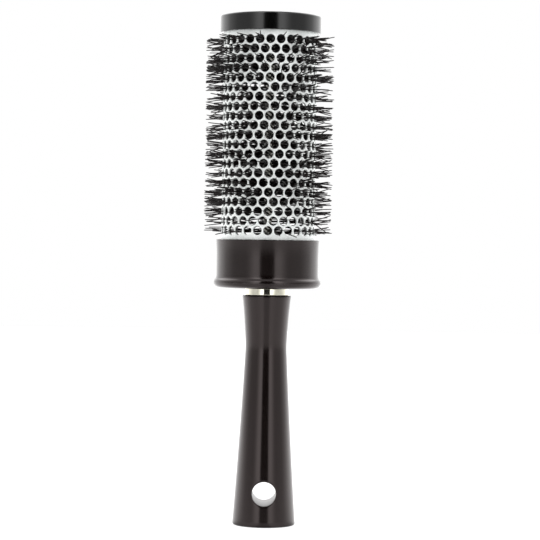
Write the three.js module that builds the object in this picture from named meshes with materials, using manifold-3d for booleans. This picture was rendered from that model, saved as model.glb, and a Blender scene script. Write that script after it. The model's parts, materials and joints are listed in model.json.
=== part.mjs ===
// A round barrel hair brush: a turned handle with a hanging hole, a metal ferrule ring, a collar,
// a perforated metal barrel round a twisted-wire brush whose bristles come out through its holes,
// and an end cap. The twisted wire is also the stem that draws the pieces together. Millimetres.
// The axis is +Z, from the handle's end face at z = 0 to the end cap, and the front of the brush,
// where the hanging hole opens and the bottom row has a hole, looks along -Y.
import * as THREE from 'three';
import { mergeVertices } from 'three/addons/utils/BufferGeometryUtils.js';
import Module from 'manifold-3d';

const wasm = await Module();
wasm.setup();

// ---------------------------------------------------------------- driving dimensions

const fitGap = 0.35;          // room left between two pieces that touch

// handle
const handleLength = 105.7;
const handleEndRadius = 14.5;
const handleTopRadius = 11.3;
const waistRadius = 9.5;      // where the lower and the upper cone would meet
const waistHeight = 82;
const waistBlend = 3;         // half the height over which the two cones blend
const waistRise = 0.16;       // how far the sides stand out at the blend's ends
const handleHollow = 0.4;     // how far the lower cone's side curves in
const handleEndRound = 0.9;
const handleTopRound = 0.5;
const hangHoleDiameter = 11;
const hangHoleHeight = 15.3;

// ferrule ring
const ferruleHeight = 3.4;
const ferruleRadius = 10.1;
const ferruleRound = 0.4;

// collar
const collarHeight = 22.2;
const collarProud = 2.4;      // its side stands out this far from the barrel's
const collarTaper = 0.3;      // the side leans in by this much towards the bead
const rimRound = 0.4;
const beadProud = 0.95;       // the bead stands out this far from the collar's side
const beadHeight = 4.8;
const collarFloor = 6;
const spigotRadius = 5.2;     // the spigot carries the ferrule ring and enters the handle
const spigotLength = 22;

// barrel
const barrelDiameter = 43;
const barrelWall = 0.8;
const barrelShown = 94.8;     // from the collar's rim to the end cap's rim
const barrelSunk = 15.2;      // how far its lower end stands inside the collar
const holeDiameter = 3.8;
const columns = 28;           // holes in one row round the barrel
const rowPitch = 4.33;
const plainBand = 4.1;        // from a rim to the first row of holes

// end cap
const capHeight = 8.1;
const capProud = 1.8;         // its side stands out this far from the barrel's
const capRound = 1;
const capRimRound = 0.3;
const capGroove = 5.5;        // depth of the groove that takes the barrel's upper end
const capFloor = 1;           // thickness under the washer
const badgeRadius = 11;
const badgeThick = 1;

// wire stem and its fasteners
const stemRadius = 2;         // over the strands twisted together
const nutAcrossFlats = 8;
const nutHeight = 2.4;
const washerRadius = 5.3;
const washerThick = 0.6;
const insertLength = 12;
const insertDrop = 1;         // from the spigot's end to the insert
const stemPast = 2;           // how far the stem stands out below the insert
const boreSpare = 2;          // empty depth of the handle's bore below the stem

// bristles
const tiers = 7;              // pieces the bristles are made in, stacked along the stem
const holesPerTuft = 2;       // every other hole of a row has a tuft, and only those are cut
const rootThick = 1.2;        // the bristles' roots together, round the stem
const bristleShown = 8.2;     // from the barrel's outer side to the bristle tips
const tuftRootRadius = 0.7;
const tuftTipRadius = 0.5;

// plugs that hold the barrel round the stem
const plugPlate = 4;
const plugSkirt = 3;          // wall of the lower plug's skirt
const lowerPlugRise = 1.9;    // how far the lower plate stands above the collar's rim
const bossRadius = 8.5;       // the lower plate's boss rises to the first row of tufts

// ---------------------------------------------------------------- places that follow from them

const barrelRadius = barrelDiameter / 2;
const barrelBore = barrelRadius - barrelWall;
const collarRadius = barrelRadius + collarProud;
const beadRadius = collarRadius + beadProud;
const capRadius = barrelRadius + capProud;
const bristleReach = barrelRadius + bristleShown;
const ferruleZ = handleLength;
const collarZ = ferruleZ + ferruleHeight;
const collarRim = collarZ + collarHeight;
const capZ = collarRim + barrelShown;
const capTop = capZ + capHeight;
const barrelLow = collarRim - barrelSunk;
const barrelHigh = capZ + capGroove - fitGap;
const rows = Math.floor((barrelShown - 2 * plainBand) / rowPitch + 1e-6) + 1;
const firstRow = (collarRim + capZ - (rows - 1) * rowPitch) / 2;
const rowHeight = (row) => firstRow + row * rowPitch;
const columnAngle = (2 * Math.PI) / columns;
const tuftsPerRow = columns / holesPerTuft;
const tierStart = (tier) => Math.round((tier * rows) / tiers);
const insertTop = collarZ - spigotLength - insertDrop;
const stemLow = insertTop - insertLength - stemPast;
const nutCorner = nutAcrossFlats / 2 / Math.cos(Math.PI / 6);
const badgeFloor = capTop - badgeThick - fitGap;
const wellDepth = nutHeight + washerThick + 3 * fitGap;
const wellFloor = badgeFloor - wellDepth;
const bossLow = wellFloor - capFloor;
const upperPlugTop = bossLow - fitGap;
const upperPlugLow = upperPlugTop - plugPlate;
const lowerPlugTop = collarRim + lowerPlugRise;
const lowerPlugLow = collarZ + collarFloor + fitGap;
const bossTop = firstRow - tuftRootRadius - fitGap;

// Facets: the barrel and what fits in it have a facet in front of each column of holes.
const barrelSides = columns;
const turnedSides = 32;
const flatShare = Math.cos(Math.PI / barrelSides);       // a facet's middle against its corners
const roundShare = Math.cos(Math.PI / turnedSides);
const plugRadius = (barrelBore - fitGap) * flatShare;
const wellRadius = (Math.max(washerRadius, nutCorner) + fitGap) / roundShare;
const sleeveRadius = (barrelRadius + fitGap) / roundShare;
const boreRadius = (stemRadius + fitGap) / roundShare;
const handleBore = (spigotRadius + fitGap) / roundShare;

// ---------------------------------------------------------------- shape helpers

const P = (x, y) => new THREE.Vector2(x, y);

// Points on a quarter or other arc of an outline, from angle a to angle b in degrees.
function arc(x, y, radius, a, b, steps = 3) {
  return Array.from({ length: steps + 1 }, (_, i) => {
    const t = THREE.MathUtils.degToRad(a + ((b - a) * i) / steps);
    return P(x + radius * Math.cos(t), y + radius * Math.sin(t));
  });
}

// Points on a curve from a to b that leaves and arrives along the lines to the corner c.
function bend(a, c, b, steps) {
  return new THREE.QuadraticBezierCurve(a, c, b).getPoints(steps);
}

// Turns an outline of (radius, height) points about +Z. A facet faces -Y.
function turned(outline, sides = turnedSides) {
  return new THREE.LatheGeometry(outline, sides, Math.PI / sides).rotateX(Math.PI / 2);
}

// An outline that goes all the way round without touching the axis, closed on itself.
const looped = (outline) => [...outline, outline[0].clone()];

// A plain tube or rod along +Z.
function tube(inner, outer, low, high, sides) {
  const outline = [P(inner, low), P(outer, low), P(outer, high), P(inner, high)];
  return turned(inner > 0 ? looped(outline) : outline, sides);
}

// A closed geometry as a solid for joining and cutting.
function solid(geometry) {
  const bare = geometry.clone();
  bare.deleteAttribute('normal');
  bare.deleteAttribute('uv');
  const merged = mergeVertices(bare, 1e-4);
  return new wasm.Manifold(new wasm.Mesh({
    numProp: 3,
    vertProperties: merged.attributes.position.array,
    triVerts: new Uint32Array(merged.index.array),
  }));
}

// A solid as a geometry again.
function shape(made) {
  const mesh = made.getMesh();
  const geometry = new THREE.BufferGeometry();
  geometry.setAttribute('position', new THREE.BufferAttribute(mesh.vertProperties, mesh.numProp));
  geometry.setIndex(new THREE.BufferAttribute(mesh.triVerts, 1));
  return geometry;
}

const joined = (solids) => solids.reduce((whole, piece) => whole.add(piece));

// A bar whose middle stands at a radius and an angle from the front, pointing away from the axis.
// It tapers from its inner end to its outer end, and its corners stand straight above each other.
function spoke(rootRadius, tipRadius, length, sides, radius, angle, z) {
  return new THREE.CylinderGeometry(tipRadius, rootRadius, length, sides)
    .rotateZ(angle + Math.PI)
    .translate(radius * Math.sin(angle), -radius * Math.cos(angle), z);
}

// ---------------------------------------------------------------- the barrel's holes

// The angles of a row's holes that have a tuft. Every other row is shifted by half a column, and
// every other pair of rows by a whole one, so that the tufts wind round the barrel.
function tuftAngles(row) {
  const shift = (row % 2 ? 0.5 : 0) + ((row >> 1) % holesPerTuft);
  return Array.from({ length: tuftsPerRow }, (_, i) => (i * holesPerTuft + shift) * columnAngle);
}

// ---------------------------------------------------------------- pieces

function handleShape() {
  const low = P(handleEndRadius, handleEndRound);
  const waist = P(waistRadius, waistHeight);
  const underWaist = P(waistRadius + waistRise, waistHeight - waistBlend);
  const overWaist = P(waistRadius + waistRise, waistHeight + waistBlend);
  const lowerBend = P((low.x + underWaist.x) / 2 - handleHollow, (low.y + underWaist.y) / 2);
  const top = P(handleTopRadius, handleLength - handleTopRound);
  // the upper cone leaves the waist in line with the blend and then flares towards its top
  const flare = waistRise / waistBlend;
  const upperBendZ = THREE.MathUtils.lerp(overWaist.y, top.y, 0.6);
  const upperBend = P(overWaist.x + flare * (upperBendZ - overWaist.y), upperBendZ);
  const boreFloor = stemLow - boreSpare;
  const outline = [
    P(0, 0),
    ...arc(handleEndRadius - handleEndRound, handleEndRound, handleEndRound, -90, 0),
    ...bend(low, lowerBend, underWaist, 6).slice(1),
    ...bend(underWaist, waist, overWaist, 4).slice(1),
    ...bend(overWaist, upperBend, top, 4).slice(1),
    ...arc(handleTopRadius - handleTopRound, top.y, handleTopRound, 0, 90, 2).slice(1),
    P(handleBore, handleLength),
    P(handleBore, boreFloor),
    P(0, boreFloor),
  ];
  const hole = new THREE.CylinderGeometry(hangHoleDiameter / 2, hangHoleDiameter / 2,
    3 * handleEndRadius, 24).translate(0, 0, hangHoleHeight);
  return shape(solid(turned(outline)).subtract(solid(hole)));
}

function ferruleShape() {
  const low = ferruleZ + fitGap;
  const high = collarZ - fitGap;
  const side = ferruleRadius - ferruleRound;
  return turned(looped([
    P(handleBore, low),
    ...arc(side, low + ferruleRound, ferruleRound, -90, 0, 2),
    ...arc(side, high - ferruleRound, ferruleRound, 0, 90, 2),
    P(handleBore, high),
  ]));
}

function collarShape() {
  const lowRadius = collarRadius - collarTaper;
  const beadMiddle = collarZ + beadHeight / 2;
  const neck = collarZ + beadHeight + 1;
  const outline = [
    P(spigotRadius, collarZ),
    ...arc(beadRadius - beadHeight / 2, beadMiddle, beadHeight / 2, -90, 0, 4),
    ...bend(P(beadRadius, beadMiddle), P(beadRadius, collarZ + beadHeight * 0.85),
      P((beadRadius + lowRadius) / 2, collarZ + beadHeight), 2).slice(1),
    P(lowRadius, neck),
    P(collarRadius, collarRim - rimRound),
    P(collarRadius - rimRound, collarRim),
    P(sleeveRadius, collarRim),
    P(sleeveRadius, collarZ + collarFloor),
    P(boreRadius, collarZ + collarFloor),
    P(boreRadius, collarZ - spigotLength),
    P(spigotRadius, collarZ - spigotLength),
  ];
  return turned(looped(outline));
}

function barrelShape() {
  const wall = solid(tube(barrelBore, barrelRadius, barrelLow, barrelHigh, barrelSides));
  const holes = [];
  for (let row = 0; row < rows; row += 1) {
    for (const angle of tuftAngles(row)) {
      holes.push(solid(spoke(holeDiameter / 2, holeDiameter / 2, 4 * barrelWall, 6,
        barrelRadius - barrelWall / 2, angle, rowHeight(row))));
    }
  }
  return shape(wall.subtract(joined(holes)));
}

// The lower plug is a cup that stands on the collar's floor, open below, with a boss on its plate.
function lowerPlugShape() {
  const skirt = plugRadius - plugSkirt;
  const plate = lowerPlugTop - plugPlate;
  return turned(looped([
    P(skirt, lowerPlugLow),
    P(plugRadius, lowerPlugLow),
    P(plugRadius, lowerPlugTop),
    P(bossRadius, lowerPlugTop),
    P(bossRadius - (bossTop - lowerPlugTop) / 2, bossTop),
    P(boreRadius, bossTop),
    P(boreRadius, plate),
    P(skirt, plate),
  ]), barrelSides);
}

// One tier of bristles: their roots together as a ring round the stem, and a tuft through each
// hole of the tier's rows.
function bristlesShape(tier) {
  const first = tierStart(tier);
  const last = tierStart(tier + 1) - 1;
  const low = first ? rowHeight(first - 0.5) + fitGap / 2 : bossTop + fitGap;
  const high = last < rows - 1 ? rowHeight(last + 0.5) - fitGap / 2 : upperPlugLow - fitGap;
  const root = boreRadius + rootThick / 2;
  const length = bristleReach - root;
  const tufts = [];
  for (let row = first; row <= last; row += 1) {
    for (const angle of tuftAngles(row)) {
      tufts.push(solid(spoke(tuftRootRadius, tuftTipRadius, length, 3, root + length / 2, angle,
        rowHeight(row))));
    }
  }
  return shape(joined([solid(tube(boreRadius, boreRadius + rootThick, low, high, tuftsPerRow)),
    ...tufts]));
}

function endCapShape() {
  const grooveTop = capZ + capGroove;
  return turned(looped([
    P(sleeveRadius, capZ),
    P(capRadius - capRimRound, capZ),
    P(capRadius, capZ + capRimRound),
    ...arc(capRadius - capRound, capTop - capRound, capRound, 0, 90),
    P(badgeRadius + fitGap, capTop),
    P(badgeRadius + fitGap, badgeFloor),
    P(wellRadius, badgeFloor),
    P(wellRadius, wellFloor),
    P(boreRadius, wellFloor),
    P(boreRadius, bossLow),
    P(plugRadius, bossLow),
    P(plugRadius, grooveTop),
    P(sleeveRadius, grooveTop),
  ]));
}

function nutShape() {
  const low = wellFloor + washerThick + 2 * fitGap;
  const body = solid(tube(0, nutCorner, low, low + nutHeight, 6));
  return shape(body.subtract(solid(tube(0, boreRadius, low - 1, low + nutHeight + 1, 12))));
}

// ---------------------------------------------------------------- materials

const finish = (color, roughness, metalness) =>
  new THREE.MeshStandardMaterial({ color, roughness, metalness });
const blackPlastic = finish('#1c1819', 0.3, 0);
const innerPlastic = finish('#262527', 0.6, 0);
const coatedBarrel = finish('#d3dad7', 0.45, 0.3);
const nickel = finish('#cfcdb9', 0.15, 1);
const steel = finish('#a9aaa6', 0.35, 1);
const brass = finish('#b89a5a', 0.35, 1);
const nylon = finish('#1a1413', 0.5, 0);

// ---------------------------------------------------------------- the assembly

function piece(name, geometry, material) {
  const mesh = new THREE.Mesh(geometry, material);
  mesh.name = name;
  return mesh;
}

const grip = new THREE.Group();
grip.add(
  piece('handle', handleShape(), blackPlastic),
  piece('handle_insert', tube(boreRadius, spigotRadius, insertTop - insertLength, insertTop, 18),
    brass),
  piece('ferrule_ring', ferruleShape(), nickel),
);

const head = new THREE.Group();
head.add(
  piece('collar', collarShape(), blackPlastic),
  piece('lower_plug', lowerPlugShape(), innerPlastic),
  piece('barrel', barrelShape(), coatedBarrel),
  piece('upper_plug', tube(boreRadius, plugRadius, upperPlugLow, upperPlugTop, barrelSides),
    innerPlastic),
  piece('end_cap', endCapShape(), blackPlastic),
  piece('cap_badge_disc', tube(0, badgeRadius, badgeFloor + fitGap, capTop, turnedSides),
    blackPlastic),
  piece('wire_stem', tube(0, stemRadius, stemLow, wellFloor + wellDepth - fitGap, 12), steel),
  piece('cap_washer', tube(boreRadius, washerRadius, wellFloor + fitGap,
    wellFloor + fitGap + washerThick, 18), steel),
  piece('cap_nut', nutShape(), steel),
);

for (let tier = 0; tier < tiers; tier += 1) {
  head.add(piece(`bristle_tier_${tier + 1}`, bristlesShape(tier), nylon));
}

const brush = new THREE.Group();
brush.name = 'round_barrel_brush';
brush.add(grip, head);

export default brush;
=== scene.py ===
# %% [markdown]
# # A round barrel hair brush
#
# A vented round brush is a turned plastic handle, a bright ferrule, a collar, a perforated
# metal barrel round a twisted-wire brush whose bristles come out through the barrel's holes, and
# an end cap. The CAD frame holds every piece at its true place and size. Here each piece that
# shows is made again with its fine shape: 588 round holes, a stem of four twisted strands, and
# bristles that are separate filaments. Everything is worked out in metres, in the frame's own
# axes: +Z runs from the handle's end to the cap, and -Y is the front.

# %% Load the frame
import json

import bpy
import numpy as np
from mathutils import Matrix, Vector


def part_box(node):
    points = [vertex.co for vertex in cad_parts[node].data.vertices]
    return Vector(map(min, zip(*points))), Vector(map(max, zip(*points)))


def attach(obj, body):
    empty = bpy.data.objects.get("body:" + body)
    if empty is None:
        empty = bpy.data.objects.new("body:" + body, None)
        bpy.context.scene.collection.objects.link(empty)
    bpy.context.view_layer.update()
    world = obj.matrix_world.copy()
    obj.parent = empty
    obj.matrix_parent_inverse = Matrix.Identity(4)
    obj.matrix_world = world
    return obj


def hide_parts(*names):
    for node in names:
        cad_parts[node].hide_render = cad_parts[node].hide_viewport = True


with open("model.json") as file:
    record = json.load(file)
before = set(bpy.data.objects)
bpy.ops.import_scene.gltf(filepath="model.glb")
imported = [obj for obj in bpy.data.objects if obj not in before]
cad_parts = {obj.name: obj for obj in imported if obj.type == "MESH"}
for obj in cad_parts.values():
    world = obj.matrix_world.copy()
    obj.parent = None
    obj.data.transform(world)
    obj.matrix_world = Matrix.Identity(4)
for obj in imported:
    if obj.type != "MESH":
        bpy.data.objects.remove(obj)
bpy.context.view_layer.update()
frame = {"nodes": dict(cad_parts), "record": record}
MM = 0.001

# %% [markdown]
# ## The camera
#
# The brush is seen from a metre away through a long lens, from a hair to one side, with the eye
# at the height of the collar's rim and the view turned down a little. The camera stands there
# instead of using a lens shift. A brush that leans slightly in the view is the camera being
# rolled: the brush itself stays upright, because its frame does.

# %% Set up the camera
EYE_HEIGHT = 130.8 * MM
EYE_DISTANCE = 1014 * MM
EYE_ASIDE = 1.27 * MM
PITCH = np.radians(89.242)
ROLL = np.radians(0.87)
LENS_LENGTH = 146.7
SENSOR_WIDTH = 36

camera = bpy.data.objects.new("camera", bpy.data.cameras.new("camera"))
camera.data.lens = LENS_LENGTH
camera.data.sensor_width = SENSOR_WIDTH
camera.data.clip_start = 0.01
turn_down = Matrix.Rotation(PITCH, 4, "X")
lean = Matrix.Rotation(ROLL, 4, "Z")
camera.matrix_world = Matrix.Translation((EYE_ASIDE, -EYE_DISTANCE, EYE_HEIGHT)) @ turn_down @ lean
bpy.context.collection.objects.link(camera)
bpy.context.scene.camera = camera
print("camera", [round(v, 4) for v in camera.matrix_world.translation])

# %% [markdown]
# ## Sizes from the frame
#
# Round CAD pieces are prisms with flat facets, so their boxes are a little narrower than the
# true circle. Half the box's width divided by the cosine of half a facet's angle gives the real
# radius back. Heights are read straight from the boxes. Two pieces that only touch keep a hair's
# breadth between them, the contact, and a bore is wider than what runs through it by a bore gap.

# %% Read radii and heights
TURNED_SIDES = 32
BARREL_SIDES = 28
INSERT_SIDES = 18
STEM_SIDES = 12
CONTACT = 0.05 * MM
BORE_GAP = 0.35 * MM


def true_radius(node, sides=TURNED_SIDES):
    """Radius of a round node: half the width of its box, over the cosine of half a facet."""
    low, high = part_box(node)
    return (high[0] - low[0]) / 2 / np.cos(np.pi / sides)


def heights(node):
    """Lowest and highest point of a node."""
    low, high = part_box(node)
    return low[2], high[2]


handle_end_radius = true_radius("handle")
handle_top = heights("handle")[1]
ferrule_radius = true_radius("ferrule_ring")
spigot_low, collar_rim = heights("collar")
collar_low = heights("ferrule_ring")[1] + (heights("ferrule_ring")[0] - handle_top)
bead_radius = true_radius("collar")
barrel_radius = true_radius("barrel", BARREL_SIDES)
barrel_low, barrel_high = heights("barrel")
cap_radius = true_radius("end_cap")
cap_rim, cap_top = heights("end_cap")
disc_radius = true_radius("cap_badge_disc")
disc_low = heights("cap_badge_disc")[0]
plug_top = heights("lower_plug")[1]
upper_plug_low, upper_plug_top = heights("upper_plug")
stem_radius = true_radius("wire_stem", STEM_SIDES)
stem_low, stem_high = heights("wire_stem")
print("barrel radius %.2f mm, shown from %.1f to %.1f mm" % (
    barrel_radius / MM, collar_rim / MM, cap_rim / MM))

# %% [markdown]
# ## Making surfaces from arrays
#
# Every new piece is a grid of points worked out at once. Neighbouring grids share their edge
# points, so they are welded into one closed mesh. Where a row of points shrinks to a pole, its
# quads lose a side in the weld and become triangles.

# %% Grids, welding and meshes
WELD = 1e-6


def grid_faces(rows, columns, wrap=True):
    """Quads between neighbouring rows and columns. With wrap the last column joins the first."""
    row = np.arange(rows - 1)[:, None] * columns
    column = np.arange(columns if wrap else columns - 1)[None, :]
    after = (column + 1) % columns
    corners = [row + column, row + after, row + columns + after, row + columns + column]
    return np.stack(corners, axis=-1)


def repeated_faces(copies, rows, columns):
    """The quads of many equal grids whose points follow one another."""
    one = grid_faces(rows, columns).reshape(-1, 4)
    return one[None] + (np.arange(copies) * rows * columns)[:, None, None]


def weld(points, quads):
    """Points that agree to a micron become one. Quads that lose a side become triangles."""
    keys = np.round(points / WELD).astype(np.int64)
    _, first, index = np.unique(keys, axis=0, return_index=True, return_inverse=True)
    faces = index.reshape(-1)[quads]
    closed_up = faces == np.roll(faces, -1, axis=1)
    lost = closed_up.sum(axis=1)
    pinched = lost == 1
    triangles = faces[pinched][~closed_up[pinched]].reshape(-1, 3)
    return points[first], faces[lost == 0], triangles


def mesh_object(name, patches, sharp_angle=35):
    """An object at the origin from (points, quads) patches. Edges past sharp_angle stay crisp."""
    counts = np.cumsum([0] + [len(points) for points, _ in patches])
    points = np.concatenate([points for points, _ in patches])
    quads = np.concatenate([quads.reshape(-1, 4) + n for (_, quads), n in zip(patches, counts)])
    points, quads, triangles = weld(points, quads)
    mesh = bpy.data.meshes.new(name)
    mesh.from_pydata(points, [], quads.tolist() + triangles.tolist())
    mesh.shade_smooth()
    mesh.set_sharp_from_angle(angle=np.radians(sharp_angle))
    thing = bpy.data.objects.new(name, mesh)
    bpy.context.collection.objects.link(thing)
    print("%-18s %6d points %6d faces" % (name, len(mesh.vertices), len(mesh.polygons)))
    return thing


def points_of(thing):
    """The points of an object's mesh as an array (point, xyz)."""
    flat = np.empty(len(thing.data.vertices) * 3)
    thing.data.vertices.foreach_get("co", flat)
    return flat.reshape(-1, 3)


# %% [markdown]
# ## Turned shapes
#
# The handle, ferrule, collar and cap are round about the axis, as lathe work is. An outline of
# (radius, height) rows is carried round the axis. It runs outwards and upwards on the outside,
# so the faces point outwards. Corners are arcs, because a moulded edge is never perfectly sharp
# and its round catches the light. Smooth shading blends from row to row, so a long flat side would
# look bowed next to a small round: a firm outline gets an extra row close to each end of a side.

# %% Outlines and turning
SMOOTH_SIDES = 128


def arc(x, y, radius, start, stop, steps=6):
    """Points (x + radius cos t, y + radius sin t), with t from start to stop in degrees."""
    t = np.radians(np.linspace(start, stop, steps + 1))
    return np.column_stack([x + radius * np.cos(t), y + radius * np.sin(t)])


def bend(a, corner, b, steps):
    """The curve (1-t)^2 a + 2t(1-t) corner + t^2 b, which leaves and arrives facing the corner."""
    t = np.linspace(0, 1, steps + 1)[:, None]
    a, corner, b = np.array(a), np.array(corner), np.array(b)
    return (1 - t) ** 2 * a + 2 * t * (1 - t) * corner + t**2 * b


def firm(outline, near=0.1 * MM):
    """Adds a row near both ends of each long side, so its shading stays flat up to its edges."""
    start, side = outline[:-1], np.diff(outline, axis=0)
    share = near / np.maximum(np.linalg.norm(side, axis=1, keepdims=True), 1e-9)
    rows = np.stack([start, start + share * side, start + (1 - share) * side], axis=1)
    keep = np.column_stack([np.ones(len(start), bool), share < 0.2, share < 0.2])
    return np.concatenate([rows[keep], outline[-1:]])


def turned(outline, sides=SMOOTH_SIDES):
    """Each (r, h) of the outline goes to (r sin a, -r cos a, h), with a round from the front."""
    a = np.arange(sides) * 2 * np.pi / sides
    r, h = outline[:, :1], outline[:, 1:]
    points = np.stack([r * np.sin(a), -r * np.cos(a), h + 0 * a], axis=-1)
    return points.reshape(-1, 3), grid_faces(len(outline), sides)


# %% [markdown]
# ## The handle's outline
#
# The handle is two long cones that meet at a waist: it narrows from its end to the waist and
# flares again to the ferrule. Both sides curve a little, and the waist is blended, so the outline
# is three quadratic curves. The hanging hole crosses it near the end, where the side's radius is
# looked up from this outline.

# %% Handle outline
END_ROUND = 1.1 * MM
TOP_ROUND = 0.5 * MM
WAIST_RADIUS = 9.5 * MM
WAIST_RISE = 0.16 * MM
WAIST_HEIGHT = 82 * MM
WAIST_BLEND = 3 * MM
HANDLE_TOP_RADIUS = 11.3 * MM
SIDE_HOLLOW = 0.4 * MM
FLARE_START = 0.6

side_low = (handle_end_radius, END_ROUND)
below_waist = (WAIST_RADIUS + WAIST_RISE, WAIST_HEIGHT - WAIST_BLEND)
above_waist = (WAIST_RADIUS + WAIST_RISE, WAIST_HEIGHT + WAIST_BLEND)
side_top = (HANDLE_TOP_RADIUS, handle_top - TOP_ROUND)
low_corner = ((side_low[0] + below_waist[0]) / 2 - SIDE_HOLLOW, (side_low[1] + below_waist[1]) / 2)
top_corner_height = above_waist[1] + FLARE_START * (side_top[1] - above_waist[1])
top_corner = (
    above_waist[0] + WAIST_RISE / WAIST_BLEND * (top_corner_height - above_waist[1]),
    top_corner_height,
)
handle_side = np.concatenate([
    bend(side_low, low_corner, below_waist, 120),
    bend(below_waist, (WAIST_RADIUS, WAIST_HEIGHT), above_waist, 40)[1:],
    bend(above_waist, top_corner, side_top, 60)[1:],
])


def handle_radius(height):
    """Radius of the handle's side at a height, read off the dense outline."""
    return np.interp(height, handle_side[:, 1], handle_side[:, 0])


print("handle narrows to %.2f mm" % (handle_side[:, 0].min() / MM))

# %% [markdown]
# ## The handle with its hanging hole
#
# A boolean cut would leave long thin triangles and a knife edge round the hole. Instead the
# turned grid leaves out a window at the front and one at the back, and a patch of rings fills
# each: its first ring follows the window, and its last is the hole's circle. Ring points are
# blended in the flat view from the front and then set back onto the handle's side. A quarter
# round rolls them into the bore, and one grid runs on through it to the back.

# %% Hole and bore sizes
hole_box = np.array(frame["record"]["physics"]["openings"][0]["box_m"])
HOLE_HEIGHT = hole_box[:, 2].mean()
HOLE_RADIUS = 5.5 * MM
HOLE_LIP = 0.55 * MM
WINDOW = 8.6 * MM
WINDOW_ROWS = 17
WINDOW_COLUMNS = 14
WINDOW_RINGS = 6
LIP_RINGS = 6
BORE_RADIUS = true_radius("handle_insert", INSERT_SIDES) + BORE_GAP
BORE_FLOOR = stem_low - 2 * MM
print("hanging hole %.1f mm across at %.1f mm" % (2 * HOLE_RADIUS / MM, HOLE_HEIGHT / MM))

# %% Rings of the hanging hole


def hole_patch(rows):
    """Rings from the window in to the hole's circle, then a quarter round into the bore."""
    angles = np.arange(-WINDOW_COLUMNS, WINDOW_COLUMNS + 1) * 2 * np.pi / SMOOTH_SIDES
    across, up = np.meshgrid(angles, rows)
    x, z = handle_radius(up) * np.sin(across), up
    edge = [(x[0, :-1], z[0, :-1]), (x[:-1, -1], z[:-1, -1])]
    edge += [(x[-1, :0:-1], z[-1, :0:-1]), (x[:0:-1, 0], z[:0:-1, 0])]
    window = np.array([np.concatenate([side[i] for side in edge]) for i in (0, 1)])
    centre = np.array([[0], [HOLE_HEIGHT]])
    round_angle = np.arctan2(window[1] - HOLE_HEIGHT, window[0])
    spokes = np.array([np.cos(round_angle), np.sin(round_angle)])
    share = np.linspace(0, 1, WINDOW_RINGS + 1)[:, None, None]
    flat = (1 - share) * window + share * (centre + spokes * (HOLE_RADIUS + HOLE_LIP))
    roll = np.radians(np.linspace(0, 90, LIP_RINGS + 1))[1:, None, None]
    lip = centre + spokes * (HOLE_RADIUS + HOLE_LIP * (1 - np.sin(roll)))
    sunk = np.concatenate([0 * share, HOLE_LIP * (1 - np.cos(roll))])[:, 0]
    x, z = np.moveaxis(np.concatenate([flat, lip]), 1, 0)
    y = -np.sqrt(handle_radius(z) ** 2 - x**2) + sunk
    return np.stack([x, y, z], axis=-1)


# %% Handle mesh
ROWS_BELOW = 4
ROWS_ABOVE = 60


def handle_patches():
    """The turned side without its two windows, and one strip of rings through the hole."""
    rows = np.linspace(HOLE_HEIGHT - WINDOW, HOLE_HEIGHT + WINDOW, WINDOW_ROWS + 1)
    below = np.linspace(END_ROUND, rows[0], ROWS_BELOW + 1)[:-1]
    above = np.linspace(rows[-1], side_top[1], ROWS_ABOVE + 1)[1:]
    levels = np.concatenate([below, rows, above])
    side = np.column_stack([handle_radius(levels), levels])
    end = arc(handle_end_radius - END_ROUND, END_ROUND, END_ROUND, -90, 0)[:-1]
    top = arc(HANDLE_TOP_RADIUS - TOP_ROUND, side_top[1], TOP_ROUND, 0, 90)[1:]
    bore = [(BORE_RADIUS, handle_top), (BORE_RADIUS, BORE_FLOOR), (0, BORE_FLOOR)]
    outline = np.concatenate([[(0, 0), (handle_end_radius / 2, 0)], end, side, top, bore])
    points, quads = turned(outline)
    first = 2 + len(end) + len(below)
    keep = np.ones(quads.shape[:2], bool)
    for middle in (0, SMOOTH_SIDES // 2):
        columns = np.arange(middle - WINDOW_COLUMNS, middle + WINDOW_COLUMNS) % SMOOTH_SIDES
        keep[first:first + WINDOW_ROWS, columns] = False
    front = hole_patch(rows)
    through = np.concatenate([front, front[::-1] * (1, -1, 1)])
    strip = grid_faces(len(through), through.shape[1])
    return [(points, quads[keep]), (through.reshape(-1, 3), strip)]


handle = mesh_object("handle_moulding", handle_patches())

# %% [markdown]
# ## The ferrule
#
# The ferrule is a plain polished band that covers the joint between the handle and the collar. A
# bevelled tube would do for it, but its bore has to match the spigot and its edges have to be the
# same small round all the way, so it is one outline turned round the axis.

# %% Ferrule ring
FERRULE_ROUND = 0.35 * MM


def ferrule_outline():
    """A band: up its outside with rounded edges, and down its bore."""
    low, high = handle_top + CONTACT, collar_low - CONTACT
    side = ferrule_radius - FERRULE_ROUND
    return np.concatenate([
        [(BORE_RADIUS, low)],
        arc(side, low + FERRULE_ROUND, FERRULE_ROUND, -90, 0),
        arc(side, high - FERRULE_ROUND, FERRULE_ROUND, 0, 90),
        [(BORE_RADIUS, high), (BORE_RADIUS, low)],
    ])


ferrule = mesh_object("ferrule_band", [turned(firm(ferrule_outline()))])

# %% [markdown]
# ## The collar
#
# The collar is a moulded cup that holds the barrel's foot. It has a half-round bead at the bottom
# with a small hollow above it, a side that flares a little towards the rim, and a spigot that goes
# down through the ferrule into the handle. A separate ring for the bead would leave a seam. In an
# outline the bead is one more arc, and the hollow and the flare are one more curve each.

# %% Collar
BEAD_HEIGHT = 4.8 * MM
BEAD_PROUD = 0.95 * MM
BEAD_TURN = 38
HOLLOW_DIP = 0.3 * MM
HOLLOW_HEIGHT = 1.4 * MM
COLLAR_TAPER = 0.3 * MM
RIM_ROUND = 0.3 * MM
RIM_FLARE = 8.5 * MM
CUP_FLOOR = heights("lower_plug")[0] - CONTACT
STEM_BORE = stem_radius + BORE_GAP
SPIGOT_RADIUS = BORE_RADIUS - BORE_GAP
collar_radius = bead_radius - BEAD_PROUD


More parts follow.
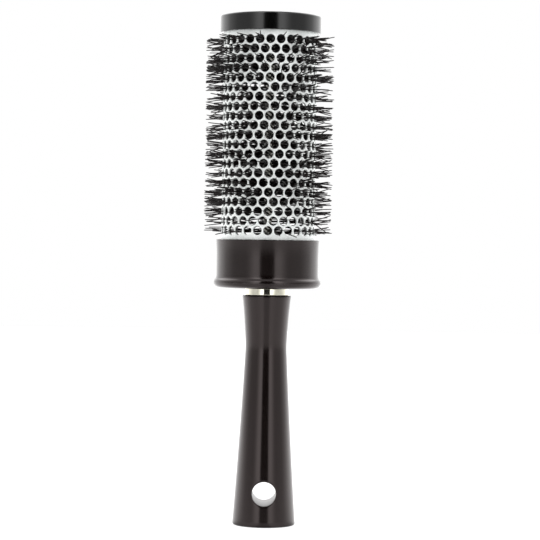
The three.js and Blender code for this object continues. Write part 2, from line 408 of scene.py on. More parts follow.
def collar_outline():
    """Spigot foot, bead, side, flared rim, and down inside the cup and the stem's bore."""
    half = BEAD_HEIGHT / 2
    foot = collar_radius - COLLAR_TAPER
    bead = arc(bead_radius - half, collar_low + half, half, -90, BEAD_TURN, 14)
    hollow = (foot, collar_low + BEAD_HEIGHT - HOLLOW_DIP)
    side_start = (foot, collar_low + BEAD_HEIGHT + HOLLOW_HEIGHT)
    flare_start, flare_middle = collar_rim - RIM_FLARE, collar_rim - RIM_FLARE / 2
    flare_end = (collar_radius, collar_rim - RIM_ROUND)
    return np.concatenate([
        [(STEM_BORE, spigot_low), (SPIGOT_RADIUS, spigot_low), (SPIGOT_RADIUS, collar_low)],
        bead,
        bend(bead[-1], hollow, side_start, 8)[1:],
        bend((foot, flare_start), (foot, flare_middle), flare_end, 10),
        arc(collar_radius - RIM_ROUND, collar_rim - RIM_ROUND, RIM_ROUND, 0, 90)[1:],
        [(barrel_radius + CONTACT, collar_rim), (barrel_radius + CONTACT, CUP_FLOOR)],
        [(STEM_BORE, CUP_FLOOR), (STEM_BORE, spigot_low)],
    ])


collar = mesh_object("collar_cup", [turned(firm(collar_outline()))])

# %% [markdown]
# ## The end cap
#
# The cap is a shallow cup over the barrel's upper end, with a soft upper edge. A thin cover disc
# is let into its top, and a fine groove shows round it. The groove is real geometry: the recess is
# turned a little wider than the disc, because a drawn line would vanish in a low view.

# %% End cap and its cover disc
CAP_ROUND = 1.0 * MM
CAP_RIM_ROUND = 0.3 * MM
CAP_GROOVE = barrel_high + CONTACT
CAP_BOSS = upper_plug_top + CONTACT
DISC_GAP = 0.15 * MM
DISC_ROUND = 0.3 * MM
PLUG_GAP = 1.2 * MM
plug_radius = barrel_radius - PLUG_GAP


def cap_outline():
    """Rim, side, soft upper edge, the recess for the disc, and the groove for the barrel."""
    recess = disc_radius + DISC_GAP
    edge = DISC_ROUND / 2
    return np.concatenate([
        [(barrel_radius + CONTACT, cap_rim)],
        arc(cap_radius - CAP_RIM_ROUND, cap_rim + CAP_RIM_ROUND, CAP_RIM_ROUND, -90, 0),
        arc(cap_radius - CAP_ROUND, cap_top - CAP_ROUND, CAP_ROUND, 0, 90, 8),
        arc(recess + edge, cap_top - edge, edge, 90, 180, 4),
        [(recess, disc_low), (STEM_BORE, disc_low), (STEM_BORE, CAP_BOSS)],
        [(plug_radius, CAP_BOSS), (plug_radius, CAP_GROOVE)],
        [(barrel_radius + CONTACT, CAP_GROOVE), (barrel_radius + CONTACT, cap_rim)],
    ])


def disc_outline():
    """A thin disc with a rounded upper edge."""
    return np.concatenate([
        [(0, disc_low + CONTACT), (disc_radius, disc_low + CONTACT)],
        arc(disc_radius - DISC_ROUND, cap_top - DISC_ROUND, DISC_ROUND, 0, 90),
        [(disc_radius / 2, cap_top), (0, cap_top)],
    ])


cap = mesh_object("cap_shell", [turned(firm(cap_outline()))])
cap_disc = mesh_object("cap_cover_disc", [turned(firm(disc_outline()))])

# %% [markdown]
# ## The perforated barrel
#
# The barrel is a metal tube with 21 rows of 28 round holes, each row turned by half a hole
# against the next. Cutting 588 holes would be slow and leave ragged faces, so the wall is made of
# 588 equal cells. In a cell, rings go from its four-sided edge to the hole, over a small rounded
# lip, through the wall and back out to the edge on the inside. One cell's rings are worked out
# once as offsets in (angle, height, radius) and added to all the cells' middles together. Each
# point is also marked as inner or outer, and the finish paints the inner side darker as painted
# shade.

# %% Barrel lattice
ROWS = 21
COLUMNS = 28
ROW_PITCH = 4.33 * MM
HOLE_SIZE = 4.15 * MM
WALL = 0.8 * MM
PUNCH_LIP = 0.12 * MM
EDGE_STEPS = 6
SIDE_STEPS = 4

row_heights = (collar_rim + cap_rim) / 2 + (np.arange(ROWS) - (ROWS - 1) / 2) * ROW_PITCH
row_shifts = (np.arange(ROWS) % 2) / 2
column_angle = 2 * np.pi / COLUMNS
barrel_bore = barrel_radius - WALL
print("rows from %.1f to %.1f mm" % (row_heights[0] / MM, row_heights[-1] / MM))

# %% One cell of the barrel


def cell_rings():
    """One cell's rings as (angle, height, radius) offsets from its middle, inner side last."""
    across = np.linspace(-1, 1, EDGE_STEPS + 1)
    up = np.linspace(-1, 1, SIDE_STEPS + 1)
    full_side, full_edge = np.ones(SIDE_STEPS), np.ones(EDGE_STEPS)
    x = np.concatenate([across[:-1], full_side, across[:0:-1], -full_side])
    z = np.concatenate([-full_edge, up[:-1], full_edge, up[:0:-1]])
    edge = np.array([x * column_angle / 2, z * ROW_PITCH / 2])
    start = np.arctan2(-1, -EDGE_STEPS / SIDE_STEPS)
    t = start + np.arange(len(x)) * 2 * np.pi / len(x)
    circle = np.array([np.cos(t) / barrel_radius, np.sin(t)]) * HOLE_SIZE / 2
    grow = 2 / HOLE_SIZE
    flat = [edge, circle * (1 + PUNCH_LIP * grow), circle * (1 + 0.3 * PUNCH_LIP * grow)]
    flat += [circle, circle, edge]
    depths = [0, 0, 0.3 * PUNCH_LIP, PUNCH_LIP, WALL, WALL]
    radii = np.broadcast_to((barrel_radius - np.array(depths))[:, None, None], (len(flat), 1, len(x)))
    return np.concatenate([np.array(flat), radii], axis=1)


def round_axis(angle, height, radius):
    """(angle, height, radius) to points, with the angle from the front towards +X."""
    return np.stack([radius * np.sin(angle), -radius * np.cos(angle), height], axis=-1)


# %% Barrel mesh


def barrel_patches():
    """All the cells, and the plain bands with their ends below and above them."""
    rings = cell_rings()
    row, column = np.meshgrid(np.arange(ROWS), np.arange(COLUMNS), indexing="ij")
    middle = ((column + row_shifts[row]) * column_angle).reshape(-1, 1, 1)
    level = row_heights[row].reshape(-1, 1, 1)
    angle, height, radius = rings[:, 0] + middle, rings[:, 1] + level, rings[:, 2] + 0 * middle
    points = round_axis(angle, height, radius)
    cells = (points.reshape(-1, 3), repeated_faces(*points.shape[:3]))
    low, high = row_heights[0] - ROW_PITCH / 2, row_heights[-1] + ROW_PITCH / 2
    bottom = [(barrel_bore, low), (barrel_bore, barrel_low), (barrel_radius, barrel_low)]
    bottom += [(barrel_radius, collar_rim), (barrel_radius, low)]
    top = [(barrel_radius, high), (barrel_radius, cap_rim), (barrel_radius, barrel_high)]
    top += [(barrel_bore, barrel_high), (barrel_bore, high)]
    sides = COLUMNS * EDGE_STEPS
    return [cells, turned(np.array(bottom), sides), turned(np.array(top), sides)]


def mark_inner_side(thing):
    """Gives each point a number: 1 on the bore, and 0 on the outer side."""
    x, y, _ = points_of(thing).T
    inner = (np.hypot(x, y) < barrel_radius - WALL / 2).astype(float)
    thing.data.attributes.new("inner_side", "FLOAT", "POINT").data.foreach_set("value", inner)


barrel = mesh_object("vented_barrel", barrel_patches())
mark_inner_side(barrel)

# %% [markdown]
# ## The twisted wire stem
#
# The brush inside the barrel is held by four steel strands twisted together to the left round a
# straight one, with the bristles gripped between them. A strand is a circle carried along a
# helix. The circle's plane is square to the path, with one axis pointing away from the stem's
# middle line, which is simple because a helix's normal always points straight at its axis.

# %% Tubes along paths


def swept(path, normal, radius, sides):
    """Circles of the given radii square to a path, with one axis along the normals."""
    along = np.gradient(path, axis=-2)
    along /= np.linalg.norm(along, axis=-1, keepdims=True)
    side = normal - (normal * along).sum(-1, keepdims=True) * along
    side /= np.linalg.norm(side, axis=-1, keepdims=True)
    other = np.cross(along, side)
    t = np.arange(sides) * 2 * np.pi / sides
    ring = side[..., None, :] * np.cos(t)[:, None] + other[..., None, :] * np.sin(t)[:, None]
    return path[..., None, :] + np.asarray(radius)[..., None, None] * ring


def tubes(paths, normals, radius, sides):
    """Closed tubes along an array of paths (tube, point, xyz), as one patch."""
    rings = swept(paths, normals, radius, sides)
    ends = np.repeat(paths[:, [0, -1], None], sides, axis=2)
    rings = np.concatenate([ends[:, :1], rings, ends[:, 1:]], axis=1)
    return rings.reshape(-1, 3), repeated_faces(len(paths), rings.shape[1], sides)


# %% Stem mesh
STRANDS = 4
STRAND_RADIUS = 0.56 * MM
TWIST_PITCH = 7.8 * MM
STEPS_PER_TURN = 16
STRAND_SIDES = 10


def stem_patch():
    """Four left-handed helices out at the lay radius, and a straight strand in the middle."""
    turns = (stem_high - stem_low) / TWIST_PITCH
    z = np.linspace(stem_low, stem_high, int(turns * STEPS_PER_TURN))
    lay = np.full(STRANDS + 1, stem_radius - STRAND_RADIUS)
    lay[-1] = 0
    t = np.arange(STRANDS + 1)[:, None] * 2 * np.pi / STRANDS - 2 * np.pi * z / TWIST_PITCH
    out = np.stack([np.cos(t), np.sin(t), 0 * t], axis=-1)
    paths = lay[:, None, None] * out + np.stack([0 * t, 0 * t, z + 0 * t], axis=-1)
    return tubes(paths, out, np.full(len(z), STRAND_RADIUS), STRAND_SIDES)


stem = mesh_object("wire_stem_strands", [stem_patch()], 60)

# %% [markdown]
# ## The bristles
#
# Nylon filaments are gripped by the stem all the way round and all the way up. Those that meet a
# hole come out through it, so a filament runs from the stem through a chosen point of a chosen
# hole, leans on the hole's edge and runs on to its tip. Filaments come in bunches, so each hole
# draws its own share. A brush isn't equally full all round and its bristles get combed over to
# one side in use, so a table gives the fullness at each angle from the front, the lowest rows are
# thinner, and every filament leans a little the same way. A few stray further than the others.
# All of a tier's filaments are one array: root, place in the hole, lean and length are drawn for
# each from a seeded generator, and five-sided tubes with thin tips are swept along them together.

# %% Bristle sizes
TIERS = 7
ROWS_PER_TIER = 3
BRISTLE_RADIUS = 0.235 * MM
BRISTLE_SIDES = 5
BRISTLE_TIPS = 29.7 * MM
BRISTLES_PER_HOLE = np.full(ROWS, 3.7)
BRISTLES_PER_HOLE[:3] = (1.2, 1.5, 2.6)
EVENNESS = 6.0
STATIONS = np.array([0.35, 0.7, 0.95, 1.0])
THICKNESS = np.array([1, 1, 1, 1, 0.9, 0.45])
HOLE_SHARE = 0.8
ROOT_SPREAD = 1.6 * MM
ROOT_TURN = np.radians(9)
ROOT_MARGIN = 0.5 * MM
LEAN_ROUND = np.radians(-5)
LEAN_SPREAD = np.radians(4.5)
STRAY_SHARE = 0.08
STRAY_REACH = 2.6
SHORTEST = 0.3
FIRST_SEED = 40
FULLNESS = np.array([
    (-180, 0.8), (-130, 1.05), (-100, 1.25), (-85, 1.0), (-70, 0.6), (-52, 0.65), (-38, 0.95),
    (-20, 1.5), (-13, 0.9), (0, 0.4), (13, 0.8), (30, 1.3), (50, 1.1), (70, 0.8), (90, 0.58),
    (110, 0.6), (150, 0.8), (180, 0.8),
])

print("%.1f bristles to a hole where it is fullest, %.2f mm thick" % (
    BRISTLES_PER_HOLE.max() * FULLNESS[:, 1].max(), 2 * BRISTLE_RADIUS / MM))

# %% Middle lines of the bristles


def bristle_paths(tier):
    """Middle lines of one tier's bristles as an array (bristle, point, xyz)."""
    random = np.random.default_rng(FIRST_SEED + tier)
    tier_rows = np.arange(tier * ROWS_PER_TIER, (tier + 1) * ROWS_PER_TIER)
    share = random.gamma(EVENNESS, 1 / EVENNESS, (ROWS_PER_TIER, COLUMNS))
    around = (np.degrees(np.arange(COLUMNS) * column_angle) + 180) % 360 - 180
    share *= np.interp(around, FULLNESS[:, 0], FULLNESS[:, 1])
    per_hole = random.poisson(BRISTLES_PER_HOLE[tier_rows, None] * share)
    place = np.repeat(np.arange(per_hole.size), per_hole.ravel())
    row, column = tier_rows[place // COLUMNS], place % COLUMNS
    count = len(place)
    hole = (column + row_shifts[row]) * column_angle
    mid_wall = barrel_radius - WALL / 2
    off = HOLE_SHARE * (HOLE_SIZE / 2 - BRISTLE_RADIUS) * np.sqrt(random.uniform(0, 1, count))
    swing = random.uniform(0, 2 * np.pi, count)
    level = row_heights[row] + off * np.sin(swing)
    wall = round_axis(hole + off * np.cos(swing) / mid_wall, level, mid_wall + 0 * hole)
    stray = np.where(random.uniform(0, 1, count) < STRAY_SHARE, STRAY_REACH, 1.0)
    root_level = level + random.normal(0, ROOT_SPREAD, count) * stray
    root_level = np.clip(root_level, plug_top + ROOT_MARGIN, upper_plug_low - ROOT_MARGIN)
    root_angle = hole + random.normal(0, ROOT_TURN, count)
    root = round_axis(root_angle, root_level, stem_radius + 0 * hole)
    heading = wall - root
    heading /= np.linalg.norm(heading, axis=1, keepdims=True)
    sideways = round_axis(hole + np.pi / 2, 0 * hole, 1 + 0 * hole)
    lean = np.tan(random.normal(LEAN_ROUND, LEAN_SPREAD, count) * stray)
    rise = np.tan(random.normal(0, LEAN_SPREAD, count) * stray)
    beyond = heading + lean[:, None] * sideways + rise[:, None] * np.array([0, 0, 1.0])
    beyond /= np.linalg.norm(beyond, axis=1, keepdims=True)
    shown = (BRISTLE_TIPS - mid_wall) * (1 - SHORTEST * random.beta(0.9, 7, count))
    steps = STATIONS[:, None] * shown[:, None, None]
    return np.concatenate([root[:, None], wall[:, None], wall[:, None] + steps * beyond[:, None]], 1)


# %% Bristle meshes


def bristle_tier(tier):
    """All the bristles of a tier as one patch of tubes."""
    paths = bristle_paths(tier)
    upright = np.broadcast_to((0.0, 0.0, 1.0), paths.shape)
    return tubes(paths, upright, BRISTLE_RADIUS * THICKNESS, BRISTLE_SIDES)


bristles = [mesh_object("bristles_%d" % (n + 1), [bristle_tier(n)], 60) for n in range(TIERS)]

# %% [markdown]
# ## Shared effects
#
# Three small node groups are used by several finishes: grain, rub and shade, and speckle. They
# only put out values and colours, and each finish keeps its own shader. All of them work from a
# position in the object and not from an image, so they have no seams and stay sharp from near by.

# %% Node helpers


def add_node(tree, kind, values=(), **settings):
    """A node with its settings, and (socket, value) pairs for its inputs."""
    made = tree.nodes.new(kind)
    for name, value in settings.items():
        setattr(made, name, value)
    for socket, value in values:
        made.inputs[socket].default_value = value
    return made


def new_group(name, inputs, outputs):
    """An empty shader group with (name, type, value) inputs and (name, type) outputs."""
    tree = bpy.data.node_groups.new(name, "ShaderNodeTree")
    for label, kind, value in inputs:
        socket = tree.interface.new_socket(name=label, in_out="INPUT", socket_type=kind)
        if value is not None:
            socket.default_value = value
    for label, kind in outputs:
        tree.interface.new_socket(name=label, in_out="OUTPUT", socket_type=kind)
    print("effect", name)
    return tree, add_node(tree, "NodeGroupInput"), add_node(tree, "NodeGroupOutput")


# %% [markdown]
# ### Grain
#
# No plastic or metal is evenly smooth. A fine texture scatters the light, and handling leaves
# broad dull smudges. Fine and broad noise are added for the roughness, the fine one at about a
# third, and the result is centred, so that the gloss value is its middle. The fine noise alone is
# the bump's height.

# %% Grain group


def make_grain():
    """Roughness and bump height from fine noise, with broad smudges that dull the gloss."""
    tree, source, sink = new_group(
        "Grain",
        [("Vector", "NodeSocketVector", None), ("Scale", "NodeSocketFloat", 2000.0),
         ("Gloss", "NodeSocketFloat", 0.3), ("Spread", "NodeSocketFloat", 0.1)],
        [("Roughness", "NodeSocketFloat"), ("Height", "NodeSocketFloat")])
    fine = add_node(tree, "ShaderNodeTexNoise", [("Detail", 3.0), ("Roughness", 0.6)])
    broad = add_node(tree, "ShaderNodeTexNoise", [("Scale", 45.0), ("Detail", 2.0)])
    both = add_node(tree, "ShaderNodeMath", [(1, 0.35)], operation="MULTIPLY_ADD")
    centred = add_node(tree, "ShaderNodeMath", [(1, 0.68)], operation="SUBTRACT")
    spread = add_node(tree, "ShaderNodeMath", operation="MULTIPLY_ADD")
    tree.links.new(source.outputs["Vector"], fine.inputs["Vector"])
    tree.links.new(source.outputs["Scale"], fine.inputs["Scale"])
    tree.links.new(source.outputs["Vector"], broad.inputs["Vector"])
    tree.links.new(fine.outputs["Fac"], both.inputs[0])
    tree.links.new(broad.outputs["Fac"], both.inputs[2])
    tree.links.new(both.outputs[0], centred.inputs[0])
    tree.links.new(centred.outputs[0], spread.inputs[0])
    tree.links.new(source.outputs["Spread"], spread.inputs[1])
    tree.links.new(source.outputs["Gloss"], spread.inputs[2])
    tree.links.new(spread.outputs[0], sink.inputs["Roughness"])
    tree.links.new(fine.outputs["Fac"], sink.inputs["Height"])
    return tree


grain_group = make_grain()

# %% [markdown]
# ### Rub and shade
#
# An edge that is handled or rubs on its neighbour goes paler, and the barrel is painted darker next
# to the collar and cap as painted shade. On a round brush such a band is a ring at one height, so
# the distance in height is all that the mask needs. Streaky noise breaks the ring up, because wear
# is never even.

# %% Rub and shade group


def make_rub_and_shade():
    """A mask that is 1 at a height and fades out over a reach, broken up by streaky noise."""
    tree, source, sink = new_group(
        "Rub and shade",
        [("Vector", "NodeSocketVector", None), ("Height", "NodeSocketFloat", 0.0),
         ("Reach", "NodeSocketFloat", 0.001)],
        [("Mask", "NodeSocketFloat")])
    split = add_node(tree, "ShaderNodeSeparateXYZ")
    away = add_node(tree, "ShaderNodeMath", operation="SUBTRACT")
    size = add_node(tree, "ShaderNodeMath", operation="ABSOLUTE")
    share = add_node(tree, "ShaderNodeMath", operation="DIVIDE")
    fade = add_node(tree, "ShaderNodeMapRange", [("To Min", 1.0), ("To Max", 0.0)],
                    interpolation_type="SMOOTHSTEP")
    streaks = add_node(tree, "ShaderNodeTexNoise", [("Scale", 420.0), ("Detail", 4.0)])
    broken = add_node(tree, "ShaderNodeMapRange", [("From Min", 0.42), ("From Max", 0.7)])
    mask = add_node(tree, "ShaderNodeMath", operation="MULTIPLY")
    tree.links.new(source.outputs["Vector"], split.inputs[0])
    tree.links.new(source.outputs["Vector"], streaks.inputs["Vector"])
    tree.links.new(split.outputs["Z"], away.inputs[0])
    tree.links.new(source.outputs["Height"], away.inputs[1])
    tree.links.new(away.outputs[0], size.inputs[0])
    tree.links.new(size.outputs[0], share.inputs[0])
    tree.links.new(source.outputs["Reach"], share.inputs[1])
    tree.links.new(share.outputs[0], fade.inputs["Value"])
    tree.links.new(streaks.outputs["Fac"], broken.inputs["Value"])
    tree.links.new(fade.outputs[0], mask.inputs[0])
    tree.links.new(broken.outputs[0], mask.inputs[1])
    tree.links.new(mask.outputs[0], sink.inputs["Mask"])
    return tree


rub_and_shade_group = make_rub_and_shade()

# %% [markdown]
# ### Speckle
#
# Pigment isn't mixed perfectly, so a coat or a plastic is never one flat colour. Two near colours
# mixed by fine dots give that, and the contrast of the dots is raised to keep them small.

# %% Speckle group


def make_speckle():
    """Two colours mixed by fine dots."""
    tree, source, sink = new_group(
        "Speckle",
        [("Vector", "NodeSocketVector", None), ("Scale", "NodeSocketFloat", 2500.0),
         ("Colour A", "NodeSocketColor", None), ("Colour B", "NodeSocketColor", None)],
        [("Colour", "NodeSocketColor")])
    dots = add_node(tree, "ShaderNodeTexNoise", [("Detail", 1.0), ("Roughness", 0.7)])
    sharper = add_node(tree, "ShaderNodeMapRange", [("From Min", 0.36), ("From Max", 0.64)])
    blend = add_node(tree, "ShaderNodeMix", data_type="RGBA")
    tree.links.new(source.outputs["Vector"], dots.inputs["Vector"])
    tree.links.new(source.outputs["Scale"], dots.inputs["Scale"])
    tree.links.new(dots.outputs["Fac"], sharper.inputs["Value"])
    tree.links.new(sharper.outputs[0], blend.inputs[0])
    tree.links.new(source.outputs["Colour A"], blend.inputs[6])
    tree.links.new(source.outputs["Colour B"], blend.inputs[7])
    tree.links.new(blend.outputs[2], sink.inputs["Colour"])
    return tree


speckle_group = make_speckle()

# %% [markdown]
# ## A finish
#
# All the finishes have the same bones: speckle drives the base colour, grain drives the
# roughness, and grain's height drives a faint bump. What makes them differ is their values, and
# whether a band of paler wear or of painted shade is mixed in. Metallic, specular level and the like
# are the same all over a piece, so they are set on the shader itself.

# %% Build a finish


def rgb(red, green, blue):
    """A linear colour with full alpha."""
    return (red, green, blue, 1.0)


def new_finish(name, colours, dots, gloss, spread, grain, bump, wear_and_shade_bands=(), wear_and_shade_colour=None, **shader):
    """A procedural material. Each (height, reach) band mixes in another colour: paler wear on the
    plastics, painted shade on the barrel.
    """
    material = bpy.data.materials.new(name)
    material.use_nodes = True
    tree = material.node_tree
    tree.nodes.clear()
    place = add_node(tree, "ShaderNodeTexCoord").outputs["Object"]
    body = add_node(tree, "ShaderNodeBsdfPrincipled", list(shader.items()))
    out = add_node(tree, "ShaderNodeOutputMaterial")
    colour = add_node(tree, "ShaderNodeGroup", node_tree=speckle_group)
    for socket, value in zip(("Scale", "Colour A", "Colour B"), (dots, *colours)):
        colour.inputs[socket].default_value = value
    surface = add_node(tree, "ShaderNodeGroup", node_tree=grain_group)
    for socket, value in zip(("Scale", "Gloss", "Spread"), (grain, gloss, spread)):
        surface.inputs[socket].default_value = value
    relief = add_node(tree, "ShaderNodeBump", [("Strength", 1.0), ("Distance", bump)])
    tree.links.new(place, colour.inputs["Vector"])
    tree.links.new(place, surface.inputs["Vector"])
    shown = colour.outputs["Colour"]
    for height, reach in wear_and_shade_bands:
        band_mask = add_node(tree, "ShaderNodeGroup", node_tree=rub_and_shade_group)
        band_mask.inputs["Height"].default_value = height
        band_mask.inputs["Reach"].default_value = reach
        worn_and_shaded = add_node(tree, "ShaderNodeMix", data_type="RGBA")
        worn_and_shaded.inputs[7].default_value = wear_and_shade_colour
        tree.links.new(place, band_mask.inputs["Vector"])
        tree.links.new(band_mask.outputs["Mask"], worn_and_shaded.inputs[0])
        tree.links.new(shown, worn_and_shaded.inputs[6])
        shown = worn_and_shaded.outputs[2]
    tree.links.new(shown, body.inputs["Base Color"])
    tree.links.new(surface.outputs["Roughness"], body.inputs["Roughness"])
    tree.links.new(surface.outputs["Height"], relief.inputs["Height"])
    tree.links.new(relief.outputs["Normal"], body.inputs["Normal"])
    tree.links.new(body.outputs[0], out.inputs[0])
    print("finish", name)
    return material


# %% [markdown]
# ## A finish that changes over its piece
#
# Three finishes aren't the same all over. The bore of the hanging hole isn't polished like the
# handle's side, so its roughness goes up inside the hole's radius. The barrel's inner side, which
# the barrel's mesh marks, is painted darker as painted shade. The grooves between the stem's
# strands are painted dark as painted shade, so the steel is bright only on the crests, far from
# the stem's middle line. Distances are worked out from Object coordinates.

# %% Distance in a material


def distance_node(tree, kept_axes, centre):
    """How far a surface point is from a centre, with only the kept axes counted."""
    place = add_node(tree, "ShaderNodeTexCoord").outputs["Object"]
    flat = add_node(tree, "ShaderNodeVectorMath", [(1, kept_axes)], operation="MULTIPLY")
    away = add_node(tree, "ShaderNodeVectorMath", [(1, centre)], operation="DISTANCE")
    tree.links.new(place, flat.inputs[0])
    tree.links.new(flat.outputs["Vector"], away.inputs[0])
    return away.outputs["Value"]


def blend_colour(material, share, first, second):
    """Base colour from first (share 0) to second (share 1). None stands for the finish's own."""
    tree = material.node_tree
    body = tree.nodes["Principled BSDF"]
    own = body.inputs["Base Color"].links[0].from_socket
    blend = add_node(tree, "ShaderNodeMix", data_type="RGBA")
    for socket, colour in ((blend.inputs[6], first), (blend.inputs[7], second)):
        if colour is None:
            tree.links.new(own, socket)
        else:
            socket.default_value = colour
    tree.links.new(share, blend.inputs[0])
    tree.links.new(blend.outputs[2], body.inputs["Base Color"])


# %% Bore, inner side and grooves
BORE_DULLNESS = 0.2


def dull_bore(material):
    """Adds to the roughness inside the hanging hole's radius."""
    tree = material.node_tree
    body = tree.nodes["Principled BSDF"]
    polished = body.inputs["Roughness"].links[0].from_socket
    edge = HOLE_RADIUS + HOLE_LIP / 3
    inside = add_node(tree, "ShaderNodeMath", [(1, edge)], operation="LESS_THAN")
    duller = add_node(tree, "ShaderNodeMath", [(1, BORE_DULLNESS)], operation="MULTIPLY_ADD")
    tree.links.new(distance_node(tree, (1, 0, 1), (0, 0, HOLE_HEIGHT)), inside.inputs[0])
    tree.links.new(inside.outputs[0], duller.inputs[0])
    tree.links.new(polished, duller.inputs[2])
    tree.links.new(duller.outputs[0], body.inputs["Roughness"])


def painted_inner_shade(material, colour):
    """Painted shade: another colour where the mesh's inner_side number is 1."""
    mark = add_node(material.node_tree, "ShaderNodeAttribute", attribute_name="inner_side")
    blend_colour(material, mark.outputs["Fac"], None, colour)


def painted_groove_shade(material, colour, foot, crest):
    """Painted shade: another colour up to the foot's distance from the Z axis, fading out at the
    crest's.
    """
    tree = material.node_tree
    share = add_node(tree, "ShaderNodeMapRange", [("From Min", foot), ("From Max", crest)])
    tree.links.new(distance_node(tree, (1, 1, 0), (0, 0, 0)), share.inputs["Value"])
    blend_colour(material, share.outputs[0], colour, None)


# %% [markdown]
# ## The finishes
#
# The handle, collar and cap are glossy black moulded plastic with a trace of brown, which also
# tints what the handle and collar mirror. It mirrors the room softly, with a faint waviness and
# slightly greyer edges where it is handled. The bristles are dark nylon, and the plugs inside are
# matt black.

# %% Plastics
RUBBED_BLACK = rgb(0.02, 0.018, 0.018)
black_handle = new_finish(
    "Black handle plastic", (rgb(0.0030, 0.0014, 0.0012), rgb(0.0042, 0.0024, 0.0022)), 900.0,
    gloss=0.15, spread=0.06, grain=1600.0, bump=0.000002,
    wear_and_shade_bands=[(0.0, 1.2 * MM), (handle_top, 0.8 * MM)], wear_and_shade_colour=RUBBED_BLACK,
    **{"Specular IOR Level": 0.54, "Specular Tint": rgb(1.0, 0.86, 0.85)})
black_collar = new_finish(
    "Black collar plastic", (rgb(0.0030, 0.0015, 0.0013), rgb(0.0042, 0.0025, 0.0022)), 900.0,
    gloss=0.16, spread=0.06, grain=1600.0, bump=0.000002,
    wear_and_shade_bands=[(collar_rim, 0.5 * MM), (collar_low + BEAD_HEIGHT / 2, 0.6 * MM)],
    wear_and_shade_colour=RUBBED_BLACK, **{"Specular IOR Level": 0.48, "Specular Tint": rgb(1.0, 0.88, 0.87)})
black_cap = new_finish(
    "Black cap plastic", (rgb(0.0010, 0.0010, 0.0010), rgb(0.0020, 0.0019, 0.0019)), 900.0,
    gloss=0.15, spread=0.06, grain=1600.0, bump=0.000002,
    wear_and_shade_bands=[(cap_top, 0.6 * MM), (cap_rim, 0.4 * MM)], wear_and_shade_colour=RUBBED_BLACK,
    **{"Specular IOR Level": 0.54})
inner_black = new_finish(
    "Inner black plastic", (rgb(0.006, 0.006, 0.006), rgb(0.010, 0.010, 0.010)), 700.0,
    gloss=0.55, spread=0.15, grain=1200.0, bump=0.00001)
bristle_nylon = new_finish(
    "Dark bristle nylon", (rgb(0.0035, 0.0015, 0.0015), rgb(0.0095, 0.0045, 0.0045)), 500.0,
    gloss=0.34, spread=0.2, grain=3000.0, bump=0.000003, **{"Specular IOR Level": 0.35})
dull_bore(black_handle)

# %% [markdown]
# ### Coat and metals
#
# The barrel has a satin pale grey coat with a fine mineral speckle, and painted shade darkens it
# next to the collar and cap and on its inner side. The ferrule is bright plate, a little warm. The
# stem is drawn steel with painted shade in its grooves, the nut and washer are turned steel and
# the insert is turned brass: these are bare metals, so their base colour is the colour of what
# they mirror.

# %% Barrel coat and metals
# Painted shade: the coat's darker bands next to the collar and cap.
barrel_coat = new_finish(
    "Satin barrel coat", (rgb(0.80, 0.835, 0.82), rgb(0.92, 0.94, 0.93)), 2300.0,
    gloss=0.42, spread=0.16, grain=2600.0, bump=0.000006,
    wear_and_shade_bands=[(collar_rim, 1.0 * MM), (cap_rim, 1.0 * MM)], wear_and_shade_colour=rgb(0.62, 0.66, 0.65),
    Metallic=0.15)
# Painted shade: the barrel's inner side is painted a darker grey.
painted_inner_shade(barrel_coat, rgb(0.30, 0.31, 0.30))
ferrule_plate = new_finish(
    "Warm bright plate", (rgb(0.76, 0.735, 0.61), rgb(0.84, 0.815, 0.69)), 400.0,
    gloss=0.07, spread=0.05, grain=2200.0, bump=0.000002, Metallic=1.0)
wire_steel = new_finish(
    "Drawn wire steel", (rgb(0.90, 0.88, 0.80), rgb(0.98, 0.96, 0.90)), 900.0,
    gloss=0.32, spread=0.1, grain=2600.0, bump=0.000002, Metallic=1.0)
# Painted shade: the grooves between the strands are painted near black.
painted_groove_shade(wire_steel, rgb(0.03, 0.03, 0.028), 0.74 * stem_radius, 0.87 * stem_radius)
plain_steel = new_finish(
    "Turned steel", (rgb(0.46, 0.46, 0.45), rgb(0.60, 0.60, 0.59)), 800.0,
    gloss=0.34, spread=0.2, grain=1800.0, bump=0.00001, Metallic=1.0)
insert_brass = new_finish(
    "Turned brass", (rgb(0.62, 0.44, 0.16), rgb(0.74, 0.56, 0.24)), 800.0,
    gloss=0.32, spread=0.2, grain=1800.0, bump=0.00001, Metallic=1.0)

# %% [markdown]
# ## Putting the pieces on the frame
#
# Nothing on this brush moves by itself, so every new piece rides on the one body, the root. Each
# new piece hides the CAD nodes that it stands for. The inner pieces whose CAD shape is right stay
# as they are and only get a finish.

# %% Dress the pieces


def dress(thing, finish, slot, *nodes):
    """Gives a new piece its finish and its body, and hides the nodes it stands for. slot is not used.
    """
    thing.data.materials.append(finish)
    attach(thing, "root")
    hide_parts(*nodes)


dress(handle, black_handle, "black_gloss", "handle")
dress(ferrule, ferrule_plate, "bright_nickel", "ferrule_ring")
dress(collar, black_collar, "black_gloss", "collar")
dress(barrel, barrel_coat, "coated_barrel", "barrel")
dress(cap, black_cap, "black_gloss", "end_cap")
dress(cap_disc, black_cap, "black_gloss", "cap_badge_disc")
dress(stem, wire_steel, "twisted_wire", "wire_stem")
for number, tier in enumerate(bristles, start=1):
    dress(tier, bristle_nylon, "nylon_bristle", "bristle_tier_%d" % number)

kept_nodes = {
    "lower_plug": inner_black,
    "upper_plug": inner_black,
    "cap_washer": plain_steel,
    "cap_nut": plain_steel,
    "handle_insert": insert_brass,
}
for name, finish in kept_nodes.items():
    node = frame["nodes"][name]
    node.data.materials.clear()
    node.data.materials.append(finish)
print("dressed", 7 + TIERS, "new pieces and", len(kept_nodes), "kept nodes")

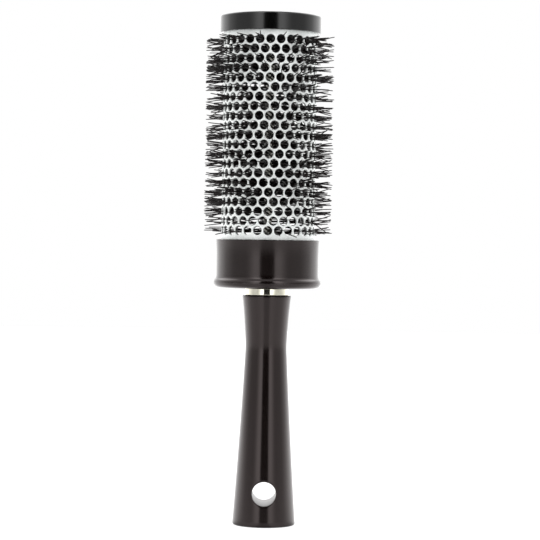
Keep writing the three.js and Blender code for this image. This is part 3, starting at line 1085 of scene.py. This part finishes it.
# %% [markdown]
# ## The stage
#
# The brush stands on a plain white floor inside a round studio wall that gives all the light.
# Glossy black plastic only shows what it mirrors, so what the wall gives in each direction
# matters: a dark gap behind the camera makes the dark line down the plastic's middle, a bright
# panel on each side of the gap makes the two lighter lines, a plain grey stretch makes the flat
# grey, and a very bright backdrop makes the pale edges. The floor goes the same way round, with a
# darker strip in front, and the upper wall is brighter, as a lamp's side of a room is. Two tables
# give the glow at each angle from the camera and one gives it at each height, and the mesh
# carries the glow as a colour. What the camera sees of the wall and floor is plain white.

# %% Shaders of the stage


def stage_material(name, albedo, seen):
    """A pale matt surface with the mesh's own glow, and a plain one for what the camera sees."""
    material = bpy.data.materials.new(name)
    material.use_nodes = True
    tree = material.node_tree
    body = tree.nodes["Principled BSDF"]
    body.inputs["Base Color"].default_value = rgb(albedo, albedo, albedo)
    body.inputs["Roughness"].default_value = 0.9
    body.inputs["Specular IOR Level"].default_value = 0.0
    body.inputs["Emission Strength"].default_value = 1.0
    ray = add_node(tree, "ShaderNodeLightPath")
    source = add_node(tree, "ShaderNodeAttribute", attribute_name="glow")
    choice = add_node(tree, "ShaderNodeMix", data_type="RGBA")
    choice.inputs[7].default_value = rgb(seen, seen, seen)
    tree.links.new(ray.outputs["Is Camera Ray"], choice.inputs[0])
    tree.links.new(source.outputs["Color"], choice.inputs[6])
    tree.links.new(choice.outputs[2], body.inputs["Emission Color"])
    return material


# %% Tables of light
WALL_DISTANCE = 2.2
WALL_HEIGHT = 3.2
TOP_LIGHT = np.array([(0, 1.0), (0.9, 1.0), (1.3, 1.8), (WALL_HEIGHT, 1.8)])
WALL_GLOW = np.array([
    (0, 0.0), (15.2, 0.0), (17.6, 1.95), (28, 1.95), (40, 1.0), (48, 0.66), (80, 0.66),
    (95, 1.0), (106, 1.2), (118, 1.75), (135, 1.9), (180, 1.9),
])
FLOOR_GLOW = np.array([
    (0, 0.1), (11, 0.1), (17, 0.6), (28, 0.6), (48, 0.38), (80, 0.45), (95, 0.8), (112, 1.25),
    (180, 1.25),
])
STAGE_SIDES = 360
print("wall glows from %.2f to %.2f" % (WALL_GLOW[:, 1].min(), WALL_GLOW[:, 1].max()))

# %% Floor, studio wall and sky


def make_stage_piece(name, outline, table, albedo, seen):
    """A round piece of the stage. Its glow at each angle from the camera is read off a table."""
    thing = mesh_object(name, [turned(np.array(outline), STAGE_SIDES)])
    x, y, z = points_of(thing).T
    glow = np.interp(np.degrees(np.abs(np.arctan2(x, -y))), table[:, 0], table[:, 1])
    glow *= np.interp(z, TOP_LIGHT[:, 0], TOP_LIGHT[:, 1])
    colours = np.column_stack([glow, glow, glow, np.ones_like(glow)])
    layer = thing.data.color_attributes.new("glow", "FLOAT_COLOR", "POINT")
    layer.data.foreach_set("color", colours.ravel())
    thing.data.materials.append(stage_material(name + " finish", albedo, seen))


floor_outline = [(0, 0), (0.02, 0), (WALL_DISTANCE, 0)]
wall_outline = [(WALL_DISTANCE, height) for height in TOP_LIGHT[::-1, 0]]
make_stage_piece("floor", floor_outline, FLOOR_GLOW, albedo=0.45, seen=0.7)
make_stage_piece("studio_wall", wall_outline, WALL_GLOW, albedo=0.0, seen=1.0)
sky = bpy.data.worlds.new("white sky")
sky.use_nodes = True
sky.node_tree.nodes["Background"].inputs["Color"].default_value = rgb(1, 1, 1)
sky.node_tree.nodes["Background"].inputs["Strength"].default_value = 1.0
bpy.context.scene.world = sky
bpy.context.scene.view_settings.view_transform = "Standard"
